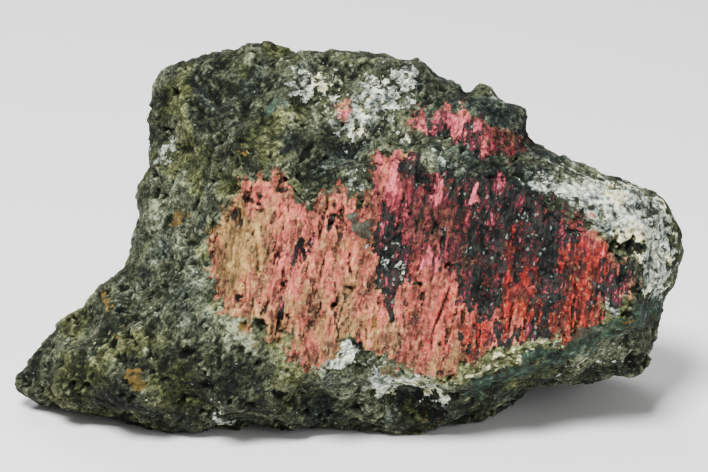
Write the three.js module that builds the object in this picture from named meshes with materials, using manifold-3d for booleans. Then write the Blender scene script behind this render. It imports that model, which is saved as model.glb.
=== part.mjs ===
// Gillespite in its host rock: a hand specimen with a fibrous red lens of gillespite in the
// front face of a dark, granular rock, two smaller bodies of the same mineral above it and a
// white mineral band round its right shoulder.
//
// Millimetres, +Z up. The red face looks to the front (-Y) and a little upward, the long axis
// runs along X, and the rock stands on the flat break of its underside at z = 0.
//
// The rock is shaped in a face-on frame first: x to the right, y up the red face and z out
// of it, toward the viewer. The frame is then leaned back onto the floor.

import * as THREE from 'three';
import { mergeVertices } from 'three/addons/utils/BufferGeometryUtils.js';
import { ImprovedNoise } from 'three/addons/math/ImprovedNoise.js';
import Module from 'manifold-3d';

const wasm = await Module();
wasm.setup();

// Driving dimensions

const FACE_LEAN = THREE.MathUtils.degToRad(18); // the red face looks this far above level
const BASE_DEPTH = 14.4; // from the face-on frame's origin straight down to the floor
const HEART = new THREE.Vector3(1, -3, -3); // a point deep in the rock, seen by all its surface
const LONGEST_REACH = 40; // no part of the rock lies farther than this from its heart
const SURFACE_DETAIL = 17; // subdivisions of each edge of the icosahedron that is drawn out
const STRETCH = new THREE.Vector3(1.7, 1.0, 1.0); // sends more of the mesh to the two long ends

const EDGE_ROUNDING = 1.3; // how far two broken faces blend into each other
const EDGE_LOSS = 0.25; // what the blends and the net's flat facets take off the outline
const SIDE_TAPER = 0.2; // how fast the outline draws in, per millimetre before or behind it
const WIDEST_DEPTH = -2.0; // the depth at which the rock fills its whole outline
const WIDEST_BAND = 1.5; // and how far before and behind that it still does

const INCLUSION_GAP = 0.3; // clearance between a mineral body and the rock round it

// The rock's outline, seen straight at the red face, clockwise from the tip of the left wedge

const ROCK_OUTLINE = [
  [-27.6, -12.2], [-25.2, -9.2], [-22.1, -6.2], [-20.5, -4.3], [-18.3, -2.8], [-17.8, 3.0],
  [-17.2, 8.8], [-16.8, 12.0], [-15.4, 13.9], [-13.2, 15.1], [-9.6, 16.0], [-7.6, 16.4],
  [-6.2, 15.8], [-3.0, 15.3], [-1.7, 15.0], [2.2, 14.9], [3.4, 14.2], [5.0, 14.4],
  [8.0, 12.3], [9.1, 11.3], [10.0, 12.1], [11.0, 11.9], [11.7, 10.5], [13.3, 10.3],
  [14.0, 8.8], [14.1, 7.5], [16.1, 6.3], [17.8, 5.7], [19.3, 4.7], [22.0, 4.7],
  [24.2, 3.6], [26.1, 1.5], [27.2, -0.2], [26.6, -2.0], [25.5, -4.6], [24.5, -7.0],
  [24.5, -9.8], [23.3, -10.8], [20.7, -11.7], [18.7, -12.2], [16.4, -12.0], [13.8, -12.8],
  [12.2, -14.3], [9.4, -15.3], [6.0, -16.2], [2.1, -16.3], [-3.2, -16.2], [-4.8, -16.3],
  [-6.8, -15.5], [-8.7, -15.3], [-11.5, -16.7], [-16.8, -15.8], [-19.6, -15.2], [-20.7, -14.6],
  [-23.7, -14.0], [-26.4, -13.2],
];

// The bodies of mineral that show in the front: each outline, and the depth of its floor

const GILLESPITE_OUTLINE = [
  [-11.9, -1.5], [-11.2, 0.9], [-9.7, 2.9], [-8.6, 4.6], [-5.8, 5.0], [-4.6, 3.0],
  [-3.3, 2.5], [-1.9, 3.1], [-1.3, 4.2], [-0.3, 2.9], [0.8, 2.5], [1.4, 4.5], [2.1, 7.2],
  [4.4, 6.9], [6.0, 5.4], [8.6, 4.4], [12.6, 4.2], [14.8, 2.4], [16.8, 0.6], [19.2, -0.1],
  [21.4, -1.9], [22.4, -3.9], [21.6, -5.6], [19.8, -7.2], [17.4, -8.8], [15.2, -9.6],
  [11.6, -10.7], [8.4, -11.7], [6.1, -11.2], [4.1, -10.8], [2.5, -9.2], [-0.3, -8.8],
  [-2.3, -10.0], [-3.9, -10.4], [-5.5, -9.0], [-7.3, -8.0], [-9.5, -6.4], [-11.2, -4.3],
];
const GILLESPITE_FLOOR = 3.4;

const UPPER_OUTLINE = [
  [6.1, 8.9], [6.6, 9.9], [8.9, 10.1], [10.8, 8.6], [13.2, 8.4], [14.0, 7.2], [12.8, 6.2],
  [10.6, 6.3], [8.7, 7.5], [7.4, 8.1],
];
const UPPER_FLOOR = 1.0;

const GRAIN_OUTLINE = [[-1.6, 10.7], [-0.9, 11.1], [-0.1, 10.4], [-0.1, 9.5], [-0.7, 9.0], [-1.4, 9.7]];
const GRAIN_FLOOR = 0.2;

const WHITE_OUTLINE = [
  [15.6, 4.0], [17.2, 5.2], [21.0, 4.2], [23.8, 3.0], [25.3, 1.2], [25.4, -0.9], [24.9, -3.2],
  [24.0, -4.3], [23.2, -2.6], [21.4, -0.9], [19.4, 0.8], [17.6, 1.7], [16.4, 2.6],
];
const WHITE_FLOOR = 0.4;

// Broken faces of the front, each a plane given by its depth at a point of the face-on frame
// and by how fast that depth changes to the right and upward

const FRONT_FACES = [
  { at: [0, -3], depth: 7.8, right: 0.0, up: -0.08 }, // the red face
  { at: [0, 5.5], depth: 7.2, right: -0.04, up: -0.92 }, // the dark slope above it
  { at: [-9.6, 4], depth: 7.0, right: 1.15, up: -0.1 }, // the left face
  { at: [0, -11.6], depth: 8.0, right: 0.0, up: 1.05 }, // the undercut below the red face
  { at: [17, 2.4], depth: 7.0, right: -0.62, up: -0.66 }, // the right shoulder
  { at: [20, -9], depth: 6.6, right: -0.3, up: 0.8 }, // below the right end of the red face
  { at: [24.2, -2], depth: 5.2, right: -1.4, up: -0.1 }, // the right end
];

// Faces of the lobe that stands out at the lower left and runs out into the wedge

const LOBE_FACES = [
  { at: [-11, -4.5], depth: 6.3, right: 0.75, up: -0.8 }, // its lit upper side
  { at: [-11, -10], depth: 9.2, right: 0.25, up: 0.8 }, // its front, down to the floor
  { at: [-6.5, -10], depth: 9.0, right: -0.75, up: 0.2 }, // its end under the red face
  { at: [-26, -12], depth: 2.2, right: 0.9, up: 0.0 }, // the blunt tip
];

// Broken faces of the back, in the standing frame: a point on each, and its outward direction

const BACK_FACES = [
  { on: [0, 12.5, 14], out: [0.1, 0.93, 0.3] },
  { on: [-4, 8.6, 28.7], out: [-0.12, 0.6, 0.8] },
  { on: [-17, 8.5, 14], out: [-0.72, 0.68, 0.12] },
  { on: [20, 8.8, 12], out: [0.58, 0.78, 0.16] },
  { on: [6, 11, 5], out: [0.12, 0.78, -0.6] },
  { on: [-13.5, 10.2, 4], out: [-0.4, 0.66, -0.62] },
];

// Single features of the front: knobs stand out, hollows go in, by their height in millimetres

const FRONT_SPOTS = [
  { at: [11.8, 10.0], radius: 2.6, height: 2.2 }, // knob at the upper right
  { at: [-7.6, 14.4], radius: 2.8, height: 1.3 }, // knob on the top edge
  { at: [5.0, -13.6], radius: 1.8, height: -2.2 }, // cavity under the pale ledge
  { at: [-1.1, -9.5], radius: 1.5, height: 1.0 }, // white grain at the red face's lower edge
  { at: [-14.6, 1.0], radius: 2.4, height: -0.9 }, // hollow with rust in the left face
  { at: [-19.5, -11.6], radius: 3.0, height: 1.0 }, // swelling of the wedge
  { at: [5.4, 3.8], radius: 1.2, height: -0.8 }, // green pit above the red face
  { at: [3.0, -1.9], radius: 1.8, height: -0.6 }, // dark clot inside the red face
  { at: [13.0, -1.0], radius: 3.0, height: -0.7 }, // dark, worn part of the red face
  { at: [-12.5, 9.5], radius: 3.2, height: -0.8 }, // scoop in the left face
  { at: [22.0, -0.6], radius: 1.4, height: -0.7 }, // dark lens in the white band
];

// Ledges run along a line of the face-on frame; the rock under each is cut back

const LEDGES = [
  {
    line: [[25, -6.4], [22, -7.0], [19.6, -7.5], [17.6, -9.1], [14, -10.3], [9.7, -12.2]],
    radius: 0.9, height: 0.9, undercut: 1.4,
  },
  { line: [[4.3, -11.2], [6.4, -12.6], [8.4, -14.2]], radius: 0.8, height: 0.8, undercut: 0.8 },
  { line: [[-16.8, -2.6], [-13.2, -4.2], [-10.2, -6.4]], radius: 0.9, height: 0.7, undercut: 0.0 },
  { line: [[-26, -11.4], [-21, -11.9], [-16, -13.4]], radius: 0.8, height: 0.6, undercut: 0.7 },
];

// Lumps of the broken surface: their spacing and height, from the broad to the small

const LUMPS = [
  { spacing: 9.0, height: 1.1 },
  { spacing: 4.2, height: 0.9 },
  { spacing: 2.2, height: 0.6 },
];
const CHIP_SPACING = 5.2; // the rock breaks into flat chips about this far apart
const CHIP_TILT = 0.4; // how far a chip leans out of the broken face that it lies on
const CHIP_CRISPNESS = 18; // how sharply one chip breaks off against the next
const OUTLINE_LUMPS = 0.35; // share of the lumps that reaches the measured outline
const RED_FACE_LUMPS = 0.4; // share of the lumps that shows on the smoother red face
const RED_FACE_BLEND = 2.0; // width of the change from rough rock to the smoother red face
const SETTLING = 0.32; // how far each point of the net moves to the middle of its neighbours

const noise = new ImprovedNoise();

// Smooth joins of two distances: the larger one, or the smaller, blended over a width

function smoothMax(a, b, width) {
  const overlap = Math.max(width - Math.abs(a - b), 0) / width;
  return Math.max(a, b) + overlap * overlap * width * 0.25;
}

function smoothMin(a, b, width) {
  return -smoothMax(-a, -b, width);
}

// Distance from a point of the face-on frame to a line of several stretches

function distanceToLine(x, y, line) {
  let nearest = Infinity;
  let above = 0;
  for (let i = 1; i < line.length; i += 1) {
    const [startX, startY] = line[i - 1];
    const alongX = line[i][0] - startX;
    const alongY = line[i][1] - startY;
    const along = (x - startX) * alongX + (y - startY) * alongY;
    const t = THREE.MathUtils.clamp(along / (alongX * alongX + alongY * alongY), 0, 1);
    const distance = Math.hypot(x - startX - t * alongX, y - startY - t * alongY);
    if (distance < nearest) {
      nearest = distance;
      above = y - startY - t * alongY;
    }
  }
  return { nearest, above };
}

// Signed distance to a closed outline of the face-on frame, below zero inside it

function distanceToOutline(x, y, outline) {
  let inside = false;
  for (let i = 0, j = outline.length - 1; i < outline.length; j = i, i += 1) {
    const [ax, ay] = outline[i];
    const [bx, by] = outline[j];
    const crosses = ay > y !== by > y && x < ((bx - ax) * (y - ay)) / (by - ay) + ax;
    inside = crosses ? !inside : inside;
  }
  const { nearest } = distanceToLine(x, y, [...outline, outline[0]]);
  return inside ? -nearest : nearest;
}

// A fixed random number from 0 to 1 for a cell of space, different for each salt

function cellRandom(i, j, k, salt) {
  const mixed = Math.sin(i * 127.1 + j * 311.7 + k * 74.7 + salt * 53.3) * 43758.5453;
  return mixed - Math.floor(mixed);
}

// Flat chips: each cell of space leans its own way, and close to a cell's edge the height
// runs over into the neighbour's

function chipHeight(point) {
  const base = point.clone().divideScalar(CHIP_SPACING);
  const [i0, j0, k0] = base.toArray().map(Math.floor);
  let weightSum = 0;
  let heightSum = 0;
  for (let i = i0 - 1; i <= i0 + 1; i += 1) {
    for (let j = j0 - 1; j <= j0 + 1; j += 1) {
      for (let k = k0 - 1; k <= k0 + 1; k += 1) {
        const dx = base.x - i - cellRandom(i, j, k, 1);
        const dy = base.y - j - cellRandom(i, j, k, 2);
        const dz = base.z - k - cellRandom(i, j, k, 3);
        const leanX = cellRandom(i, j, k, 4) - 0.5;
        const leanY = cellRandom(i, j, k, 5) - 0.5;
        const leanZ = cellRandom(i, j, k, 6) - 0.5;
        const weight = Math.exp(-CHIP_CRISPNESS * (dx * dx + dy * dy + dz * dz));
        weightSum += weight;
        heightSum += weight * (dx * leanX + dy * leanY + dz * leanZ);
      }
    }
  }
  return (2 * CHIP_TILT * CHIP_SPACING * heightSum) / weightSum;
}

function lumpHeight(point) {
  let height = chipHeight(point);
  for (const { spacing, height: size } of LUMPS) {
    height += size * noise.noise(point.x / spacing, point.y / spacing, point.z / spacing);
  }
  return height;
}

// Depth of one set of front faces at a place, blended where two of them meet

function lowestFace(x, y, faces) {
  let depth = Infinity;
  for (const face of faces) {
    const here = face.depth + face.right * (x - face.at[0]) + face.up * (y - face.at[1]);
    depth = depth === Infinity ? here : smoothMin(depth, here, EDGE_ROUNDING);
  }
  return depth;
}

function frontDepth(x, y) {
  let depth = lowestFace(x, y, FRONT_FACES);
  depth = smoothMax(depth, lowestFace(x, y, LOBE_FACES), EDGE_ROUNDING);
  for (const { at, radius, height } of FRONT_SPOTS) {
    const away = Math.hypot(x - at[0], y - at[1]) / radius;
    depth += height * Math.exp(-away * away);
  }
  for (const { line, radius, height, undercut } of LEDGES) {
    const { nearest, above } = distanceToLine(x, y, line);
    const away = nearest / radius;
    depth += height * Math.exp(-away * away);
    depth -= above < 0 ? undercut * Math.exp(-((away - 2) ** 2)) : 0;
  }
  return depth;
}

const leanBack = new THREE.Matrix4().makeRotationX(Math.PI / 2 - FACE_LEAN);
leanBack.setPosition(0, 0, BASE_DEPTH);

function backDistance(point) {
  const standing = point.clone().applyMatrix4(leanBack);
  let distance = -Infinity;
  for (const { on, out } of BACK_FACES) {
    const direction = new THREE.Vector3(...out).normalize();
    const here = standing.clone().sub(new THREE.Vector3(...on)).dot(direction);
    distance = distance === -Infinity ? here : smoothMax(distance, here, 2 * EDGE_ROUNDING);
  }
  return distance;
}

// Signed distance to the rock's surface, about right close to it, below zero inside

function rockDistance(point) {
  const lumps = lumpHeight(point);
  const intoRedFace = -distanceToOutline(point.x, point.y, GILLESPITE_OUTLINE) / RED_FACE_BLEND;
  const redShare = point.z > 0 ? THREE.MathUtils.clamp(intoRedFace + 0.5, 0, 1) : 0;
  const front = (point.z - frontDepth(point.x, point.y)) * 0.75;
  const fromWidest = Math.max(Math.abs(point.z - WIDEST_DEPTH) - WIDEST_BAND, 0);
  const outline = distanceToOutline(point.x, point.y, ROCK_OUTLINE) + SIDE_TAPER * fromWidest;
  const faces = smoothMax(front, backDistance(point), EDGE_ROUNDING);
  const lumpyFaces = faces - lumps * THREE.MathUtils.lerp(1, RED_FACE_LUMPS, redShare);
  return smoothMax(lumpyFaces, outline - lumps * OUTLINE_LUMPS, EDGE_ROUNDING / 2) - EDGE_LOSS;
}

// The surface point in one direction from the heart of the rock

function surfacePoint(direction) {
  const at = (reach) => HEART.clone().addScaledVector(direction, reach);
  let inner = 2;
  let outer = inner;
  while (outer < LONGEST_REACH && rockDistance(at(outer)) < 0) {
    inner = outer;
    outer += 0.6;
  }
  for (let halving = 0; halving < 10; halving += 1) {
    const middle = (inner + outer) / 2;
    if (rockDistance(at(middle)) < 0) {
      inner = middle;
    } else {
      outer = middle;
    }
  }
  return at((inner + outer) / 2);
}

// Each point of a net moved part of the way to the middle of its neighbours, which takes out
// spikes where the surface runs almost along the line from the heart

function settle(geometry) {
  const position = geometry.getAttribute('position');
  const corners = geometry.getIndex().array;
  const sums = Array.from({ length: position.count }, () => new THREE.Vector3());
  const counts = new Array(position.count).fill(0);
  const corner = new THREE.Vector3();
  for (let i = 0; i < corners.length; i += 3) {
    for (let j = 0; j < 3; j += 1) {
      const here = corners[i + j];
      const next = corners[i + ((j + 1) % 3)];
      sums[here].add(corner.fromBufferAttribute(position, next));
      counts[here] += 1;
    }
  }
  sums.forEach((sum, i) => {
    corner.fromBufferAttribute(position, i).lerp(sum.divideScalar(counts[i]), SETTLING);
    position.setXYZ(i, corner.x, corner.y, corner.z);
  });
}

// An icosahedron's fine net, drawn out from the heart of the rock onto its surface

function rockGeometry() {
  const net = new THREE.IcosahedronGeometry(1, SURFACE_DETAIL);
  net.deleteAttribute('normal');
  net.deleteAttribute('uv');
  const geometry = mergeVertices(net, 1e-5);
  const position = geometry.getAttribute('position');
  for (let i = 0; i < position.count; i += 1) {
    const direction = new THREE.Vector3().fromBufferAttribute(position, i);
    const place = surfacePoint(direction.multiply(STRETCH).normalize());
    position.setXYZ(i, place.x, place.y, place.z);
  }
  settle(geometry);
  return geometry.applyMatrix4(leanBack);
}

// Solids for joining and cutting, and their geometry back again

function solidOf(geometry) {
  const source = geometry.clone();
  source.deleteAttribute('normal');
  source.deleteAttribute('uv');
  const merged = mergeVertices(source, 1e-4);
  return new wasm.Manifold(new wasm.Mesh({
    numProp: 3,
    vertProperties: new Float32Array(merged.getAttribute('position').array),
    triVerts: new Uint32Array(merged.getIndex().array),
  }));
}

function geometryOf(solid) {
  const { vertProperties, triVerts } = solid.getMesh();
  const geometry = new THREE.BufferGeometry();
  geometry.setAttribute('position', new THREE.BufferAttribute(new Float32Array(vertProperties), 3));
  geometry.setIndex(new THREE.BufferAttribute(new Uint32Array(triVerts), 1));
  geometry.computeVertexNormals();
  return geometry;
}

// An outline moved outward by a distance, or inward by a negative one

function offsetOutline(outline, distance) {
  return outline.map(([x, y], i) => {
    const before = outline[(i + outline.length - 1) % outline.length];
    const after = outline[(i + 1) % outline.length];
    const arriving = new THREE.Vector2(x - before[0], y - before[1]).normalize();
    const leaving = new THREE.Vector2(after[0] - x, after[1] - y).normalize();
    const along = arriving.clone().add(leaving).normalize();
    const stretch = Math.min(1 / Math.max(along.dot(leaving), 0.4), 2);
    return [x - along.y * distance * stretch, y + along.x * distance * stretch];
  });
}

// A column straight out of the red face, from a floor inside the rock to well outside it

function column(outline, floor) {
  const shape = new THREE.Shape(outline.map(([x, y]) => new THREE.Vector2(x, y)));
  const height = LONGEST_REACH / 2 - floor;
  const geometry = new THREE.ExtrudeGeometry(shape, { depth: height, bevelEnabled: false });
  geometry.translate(0, 0, floor);
  return solidOf(geometry.applyMatrix4(leanBack));
}

function inclusion(rock, outline, floor) {
  const half = INCLUSION_GAP / 2;
  const body = rock.intersect(column(offsetOutline(outline, -half), floor + half));
  const pocket = column(offsetOutline(outline, half), floor - half);
  return { body, pocket };
}

// The whole rock, cut off flat at the floor

const floorBlock = new THREE.BoxGeometry(100, 100, 40).translate(0, 0, -20);
const wholeRock = solidOf(rockGeometry()).subtract(solidOf(floorBlock));

const gillespite = inclusion(wholeRock, GILLESPITE_OUTLINE, GILLESPITE_FLOOR);
const upper = inclusion(wholeRock, UPPER_OUTLINE, UPPER_FLOOR);
const grain = inclusion(wholeRock, GRAIN_OUTLINE, GRAIN_FLOOR);
const white = inclusion(wholeRock, WHITE_OUTLINE, WHITE_FLOOR);

const hostRock = [gillespite, upper, grain, white].reduce(
  (rock, { pocket }) => rock.subtract(pocket),
  wholeRock,
);

// Materials

const DARK_ROCK = { color: 0x2f342e, roughness: 0.85, metalness: 0 };
const RED_GILLESPITE = { color: 0xc0414a, roughness: 0.55, metalness: 0 };
const CRIMSON_GILLESPITE = { color: 0xb02a3c, roughness: 0.5, metalness: 0 };
const WHITE_MINERAL = { color: 0xb9bab4, roughness: 0.7, metalness: 0 };

function piece(name, solid, look) {
  const mesh = new THREE.Mesh(geometryOf(solid), new THREE.MeshStandardMaterial(look));
  mesh.name = name;
  return mesh;
}

// The origin lies on the floor, under the middle of the rock

const specimen = new THREE.Group();
const extent = new THREE.Box3().setFromObject(new THREE.Mesh(geometryOf(wholeRock)));
const middle = extent.getCenter(new THREE.Vector3());
specimen.position.set(-middle.x, -middle.y, -extent.min.z);
specimen.add(
  piece('matrix', hostRock, DARK_ROCK),
  piece('gillespite', gillespite.body, RED_GILLESPITE),
  piece('gillespite_upper', upper.body, CRIMSON_GILLESPITE),
  piece('gillespite_grain', grain.body, RED_GILLESPITE),
  piece('white_band', white.body, WHITE_MINERAL),
);

export default specimen;
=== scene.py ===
import math

import bmesh
import bpy
import numpy as np
from mathutils import Matrix, Vector, noise
from mathutils.bvhtree import BVHTree
from mathutils.interpolate import poly_3d_calc


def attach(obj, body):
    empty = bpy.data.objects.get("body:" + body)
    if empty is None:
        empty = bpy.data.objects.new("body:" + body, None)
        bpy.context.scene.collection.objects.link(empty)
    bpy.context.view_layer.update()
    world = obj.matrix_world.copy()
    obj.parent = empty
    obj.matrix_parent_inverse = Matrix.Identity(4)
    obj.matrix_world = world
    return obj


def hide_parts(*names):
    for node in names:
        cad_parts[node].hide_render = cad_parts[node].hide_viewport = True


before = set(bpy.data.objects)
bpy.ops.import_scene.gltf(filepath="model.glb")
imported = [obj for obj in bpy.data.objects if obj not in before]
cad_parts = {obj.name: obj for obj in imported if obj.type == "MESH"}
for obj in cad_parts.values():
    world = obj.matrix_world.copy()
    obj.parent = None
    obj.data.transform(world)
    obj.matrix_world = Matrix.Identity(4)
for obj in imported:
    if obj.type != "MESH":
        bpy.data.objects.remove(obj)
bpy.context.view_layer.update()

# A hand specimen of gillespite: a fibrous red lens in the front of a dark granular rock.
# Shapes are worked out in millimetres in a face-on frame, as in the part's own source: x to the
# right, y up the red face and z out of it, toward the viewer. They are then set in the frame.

MM = 0.001
FACE_LEAN = math.radians(18)  # the red face looks this far above level
FACE_ORIGIN = Vector((0.42, -1.49, 14.4))  # of the face-on frame, in the standing frame, in mm
FACE_TURN = math.pi / 2 - FACE_LEAN
FROM_FACE = (
    Matrix.Scale(MM, 4) @ Matrix.Translation(FACE_ORIGIN) @ Matrix.Rotation(FACE_TURN, 4, "X")
)
TO_FACE = FROM_FACE.inverted()
FLOOR_NORMAL = (TO_FACE.to_3x3() @ Vector((0, 0, 1))).normalized()  # in the face-on frame

# Camera: straight at the red face, through a long lens

PHOTO_WIDTH = 708  # pixels
PIXELS_PER_MM = 12.2  # at the face-on frame's origin
VIEW_DISTANCE = 250.0  # mm
SENSOR_WIDTH = 36.0  # mm

# Light and colour

STUDIO_BRIGHTNESS = 2.2  # how much brighter than its own colour a surface facing us looks
VIEW_HOLD = 3.2  # how strongly the view holds bright colours back
PALEST = 0.85  # no mineral's colour is brighter than this
FLOOR_GREY = 0.82
FLOOR_ROUGHNESS = 0.7
FLOOR_REACH = 1.5  # m, from the middle to each side
SKY_STRENGTH = 0.32
LIGHT_AIM = Vector((0, 0, 0.014))  # the middle of the specimen, in m
LIGHTS = {  # place and size in m, and power in W
    "key": ((-0.08, -0.20, 0.36), 0.14, 4.8),
    "fill": ((0.34, -0.30, 0.14), 0.3, 1.0),
    "back": ((-0.1, 0.36, 0.30), 0.25, 1.4),
}

# Fineness of each surface, in mm

GUIDE_VOXEL = 0.6
ROCK_VOXEL = 0.27
LENS_VOXEL = 0.13
SMALL_BODY_VOXEL = 0.13
WHITE_VOXEL = 0.2

GRAIN_SIZE = 0.9  # of the rock's grains, in mm
GRAIN_SEED = 9.7
CREVICE_WIDTH = 0.3  # mm, of the small hollows that are shaded
HOLLOW_WIDTH = 1.1  # mm, of the broad ones
SKIN_NEAR, SKIN_FAR = 0.6, 1.3  # mm under the skin, where the outer surface's relief fades
FRONT_END, FRONT_START = -6.0, -2.0  # mm of depth, where the front's minerals fade into the back
FRONT_RED = -3.0  # mm of depth, behind which nothing is red
FIBRE_LEAN = math.radians(10)  # the fibres' tops lean this far to the right

# Outlines on the face-on frame, in mm

RED_LENS = [
    (-11.9, -1.5), (-11.2, 0.9), (-9.7, 2.9), (-8.6, 4.6), (-5.8, 5.0), (-4.6, 3.0),
    (-3.3, 2.5), (-1.9, 3.1), (-1.3, 4.2), (-0.3, 2.9), (0.8, 2.5), (1.4, 4.5), (2.1, 7.2),
    (4.4, 6.9), (6.0, 5.4), (8.2, 4.3), (9.2, 5.3), (10.4, 4.2), (11.6, 5.2), (12.8, 4.1),
    (14.6, 3.3), (16.4, 2.1), (18.3, 1.9), (19.8, 0.3), (21.4, -1.9), (22.4, -3.9),
    (21.6, -5.6), (19.8, -7.2), (17.4, -8.8), (15.2, -9.6), (11.6, -10.7), (8.4, -11.7),
    (6.1, -11.2), (4.1, -10.8), (2.5, -9.2), (-0.3, -8.8),
    (-2.3, -10.0), (-3.9, -10.4), (-5.5, -9.0), (-7.3, -8.0), (-9.5, -6.4), (-11.2, -4.3),
]
UPPER_RED = [
    (6.1, 8.9), (6.6, 9.9), (8.9, 10.1), (10.8, 8.6), (13.2, 8.4), (14.0, 7.2), (12.8, 6.2),
    (10.6, 6.3), (8.7, 7.5), (7.4, 8.1),
]
PALE_LENS = [(4.8, 8.6), (5.1, 10.2), (5.7, 10.5), (6.0, 9.2), (5.6, 8.3)]
RED_GRAIN = [(-1.6, 10.7), (-0.9, 11.1), (-0.1, 10.4), (-0.1, 9.5), (-0.7, 9.0), (-1.4, 9.7)]
WHITE_BAND = [
    (13.8, 4.6), (15.4, 5.6), (17.6, 6.2), (21.4, 5.0), (24.4, 3.6), (26.0, 1.2), (26.0, -1.4),
    (25.2, -3.6), (24.0, -4.6), (23.2, -2.6), (21.8, -1.6), (20.6, -0.4), (19.0, 0.8),
    (17.6, 1.9), (15.6, 2.6),
]
WHITE_PATCH = [
    (-4.4, 11.9), (-3.0, 13.3), (-0.6, 12.7), (2.6, 13.5), (4.6, 13.8), (5.3, 12.4),
    (4.9, 10.7), (3.3, 9.8), (0.8, 8.7), (-0.8, 8.3), (-1.6, 9.2), (-2.0, 10.8), (-3.7, 11.2),
]

# Spots on the face-on frame: place, radius in mm, strength

TAN_SPOTS = [
    ((-7.4, 3.8), 1.2, -0.5), ((-3.3, 2.4), 1.2, -0.9), ((-5.4, -1.6), 0.9, -0.9),
    ((-6.4, -4.2), 1.5, -0.6), ((-2.8, -3.1), 1.3, -1.0), ((-0.9, 0.8), 0.9, -1.0),
    ((5.9, -5.7), 2.4, -0.7), ((-11.2, -0.6), 0.6, -0.9), ((1.6, -4.6), 1.0, -0.6),
    ((-10.4, 0.4), 2.6, 0.65), ((-7.6, -0.8), 2.6, 0.45), ((-9.8, -3.4), 2.2, 0.4),
    ((-6.6, 4.6), 1.2, 0.4), ((-1.0, -8.0), 2.0, 0.4), ((2.6, -7.6), 2.2, 0.6),
    ((4.5, 6.8), 0.9, 1.2), ((5.1, 8.9), 0.9, 0.9), ((-6.6, -5.2), 2.8, 0.45),
    ((-2.6, -4.0), 3.0, 0.3), ((0.4, -1.4), 2.4, 0.25), ((7.6, -9.6), 1.6, 0.4),
]
CRIMSON_SPOTS = [
    ((13.4, 7.0), 1.8, 1.2), ((11.2, 7.4), 1.2, 0.8),
    ((18.8, -0.2), 1.0, 0.8), ((15.8, -3.4), 1.2, 0.7), ((20.4, -2.6), 1.0, 0.6),
    ((4.2, 3.4), 3.0, 1.0), ((7.4, 2.0), 3.2, 0.8), ((10.4, 1.8), 3.0, 0.9),
    ((12.4, -1.6), 3.4, 0.9), ((5.6, -0.6), 2.2, 0.5), ((9.6, 8.2), 1.6, 1.0),
    ((12.6, 7.2), 1.6, 0.9), ((15.2, -0.4), 2.2, 0.9), ((3.2, 5.6), 1.6, 0.2),
    ((20.6, -3.4), 1.6, 0.8), ((9.4, -10.6), 1.2, 0.7), ((6.6, -1.2), 1.4, 0.6),
    ((10.6, -3.0), 2.2, 0.7), ((14.0, 2.0), 2.6, 0.9), ((3.4, -0.6), 1.8, 0.5),
    ((17.4, 1.6), 1.8, 0.9),
]
SCARLET_SPOTS = [
    ((18.6, -2.2), 1.9, 1.3), ((17.4, -6.2), 2.2, 1.2), ((13.0, -5.2), 2.4, 1.1),
    ((8.6, -7.6), 2.8, 0.6), ((4.6, -5.6), 2.6, 0.35), ((12.6, -2.6), 1.2, 0.5),
    ((15.9, 1.0), 0.8, 0.8),
]
CLOT_SPOTS = [
    ((2.7, -0.6), 1.1, 1.3), ((2.9, -2.2), 1.2, 1.5), ((2.4, 0.9), 1.0, 0.8),
    ((3.3, -3.4), 0.9, 1.2), ((4.6, 5.2), 0.8, 1.4), ((3.9, 6.3), 0.5, 1.0),
    ((19.6, -5.0), 1.0, 0.9), ((21.4, -3.4), 1.1, 0.8), ((16.2, -5.2), 0.8, 0.8),
    ((14.6, -7.4), 0.8, 0.7), ((12.0, -9.2), 0.8, 0.8), ((14.2, -4.8), 0.7, 0.7),
    ((-0.8, -6.6), 0.6, 0.4), ((-3.6, -7.8), 0.8, 0.3), ((7.8, 6.0), 1.7, 1.6),
    ((16.4, 2.1), 0.8, 0.3), ((10.4, 4.6), 1.2, 0.7),
    ((5.4, 4.1), 0.8, 1.3), ((9.4, 3.4), 1.6, 0.6), ((12.4, 2.8), 2.2, 0.9),
    ((15.0, 1.2), 2.0, 0.8), ((10.4, -1.6), 1.6, 0.8), ((13.0, -0.8), 2.4, 0.5),
    ((10.0, 1.0), 1.3, 0.6), ((15.6, -2.4), 1.8, 0.9), ((9.2, -3.8), 1.3, 0.9),
    ((10.4, -5.4), 1.0, 1.0), ((9.0, -4.8), 0.9, 0.8), ((17.2, 0.2), 1.3, 0.45),
    ((20.6, -3.6), 1.5, 0.8), ((15.0, -6.4), 0.9, 0.9), ((6.2, 7.2), 1.1, 1.2),
    ((9.0, -8.8), 1.1, 0.7), ((11.4, -8.4), 1.3, 0.8), ((13.6, -8.3), 1.1, 0.7),
    ((15.4, -8.8), 0.9, 0.8), ((-0.2, -10.0), 1.2, 0.6), ((5.6, 0.4), 0.8, 0.6),
    ((7.4, 2.6), 1.0, 0.5), ((4.2, 1.8), 0.9, 0.6), ((18.8, -4.8), 1.0, 0.6),
    ((8.6, 6.8), 1.4, 0.9), ((-4.2, -1.2), 0.7, 0.7), ((-1.6, 1.2), 0.5, 0.6),
    ((2.6, -4.4), 0.8, 0.5), ((4.4, -9.8), 0.8, 0.6), ((11.6, 5.0), 2.0, 1.0),
]
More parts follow.
